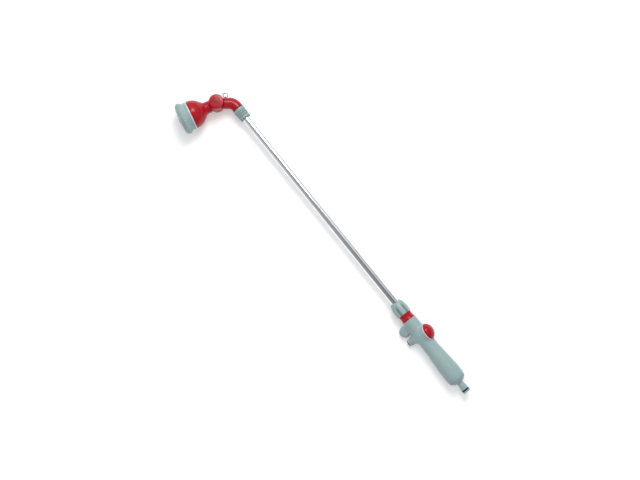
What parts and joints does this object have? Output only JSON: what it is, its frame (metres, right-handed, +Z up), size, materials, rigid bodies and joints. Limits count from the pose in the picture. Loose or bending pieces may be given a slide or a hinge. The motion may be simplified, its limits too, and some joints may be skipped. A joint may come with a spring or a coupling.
{
  "type": "watering wand",
  "caption": "Hose-fed watering wand: handle with a push-through valve and nipple, long straight tube, tilting spray head with a rotary pattern dial and a hang ring.",
  "frame": {"origin": "middle of the bounding box's base, on the plane the wand lies on", "axes": "+X along the tube from the head to the hose nipple, +Z up from the plane the wand lies on, +Y from the head's side to the button's side"},
  "size_m": [0.8246, 0.1408, 0.0667],
  "materials": {
    "grey_plastic": "satin moulded",
    "pale_plastic": "satin moulded",
    "red_plastic": "gloss",
    "dark_red_plastic": "gloss",
    "dark_plastic": "satin moulded",
    "inner_plastic": "natural",
    "tube_aluminium": "bright anodised",
    "chrome_wire": "polished",
    "steel": "zinc plated",
    "brass": "turned",
    "rubber": "moulded"
  },
  "bodies": {
    "handle": {"handle_shell_left": "grey_plastic", "handle_shell_right": "grey_plastic", "tail_cap": "grey_plastic", "hose_nipple": "grey_plastic", "nipple_oring": "rubber", "inlet_screen": "steel", "inlet_pipe": "inner_plastic", "valve_body": "inner_plastic", "button_bezel": "pale_plastic", "nub_ring": "pale_plastic", "outlet_socket": "red_plastic", "clamp_collet": "inner_plastic", "tube_seal": "rubber", "shell_screw": "steel"},
    "valve_button": {"button_cap": "red_plastic", "valve_spool": "brass", "spool_oring": "rubber", "spool_tip": "dark_red_plastic"},
    "clamp_nut": {"clamp_nut": "grey_plastic"},
    "lance": {"lance_tube": "tube_aluminium", "tail_ferrule": "brass", "elbow": "red_plastic", "elbow_oring": "rubber", "nose_collet": "inner_plastic", "pivot_screw": "steel", "pivot_washer": "steel", "pivot_nut": "steel", "hinge_cap": "dark_plastic", "hinge_oring": "rubber"},
    "head_nut": {"head_nut": "grey_plastic"},
    "hang_ring": {"hang_ring": "chrome_wire"},
    "head": {"head_shell": "red_plastic", "hinge_plug": "red_plastic", "port_plate": "inner_plastic", "head_spindle": "inner_plastic", "detent_spring": "steel", "detent_ball": "steel", "spindle_screw": "steel"},
    "dial": {"dial_ring": "grey_plastic", "dial_trim": "pale_plastic", "dial_seal": "rubber", "spray_plate": "grey_plastic", "selector_disc": "inner_plastic", "centre_cap": "red_plastic"}
  },
  "joints": [
    {"name": "valve_slide", "type": "slide", "parent": "handle", "child": "valve_button", "axis": [-0.0958, -0.9163, -0.3889], "range_m": [0, 0.004]},
    {"name": "clamp_nut_turn", "type": "hinge", "parent": "handle", "child": "clamp_nut", "pos_m": [0.19875, 0.04311, 0.0195], "axis": [1, 0, 0], "range_deg": [0, 360]},
    {"name": "lance_swivel", "type": "hinge", "parent": "handle", "child": "lance", "pos_m": [0.20375, 0.04311, 0.0195], "axis": [1, 0, 0], "range_deg": [-180, 180]},
    {"name": "head_nut_turn", "type": "hinge", "parent": "lance", "child": "head_nut", "pos_m": [-0.31306, 0.04311, 0.0195], "axis": [1, 0, 0], "range_deg": [0, 360]},
    {"name": "ring_swing", "type": "hinge", "parent": "lance", "child": "hang_ring", "pos_m": [-0.36063, 0.037, 0.02035], "axis": [-0.6311, -0.7684, 0.1066], "range_deg": [-95, 95]},
    {"name": "head_tilt", "type": "hinge", "parent": "lance", "child": "head", "pos_m": [-0.36274, 0.01622, 0.02323], "axis": [0, 0.1374, 0.9905], "range_deg": [-80, 35]},
    {"name": "dial_turn", "type": "hinge", "parent": "head", "child": "dial", "pos_m": [-0.37829, -0.05138, 0.03261], "axis": [-0.2221, -0.9658, 0.134], "continuous": true}
  ]
}
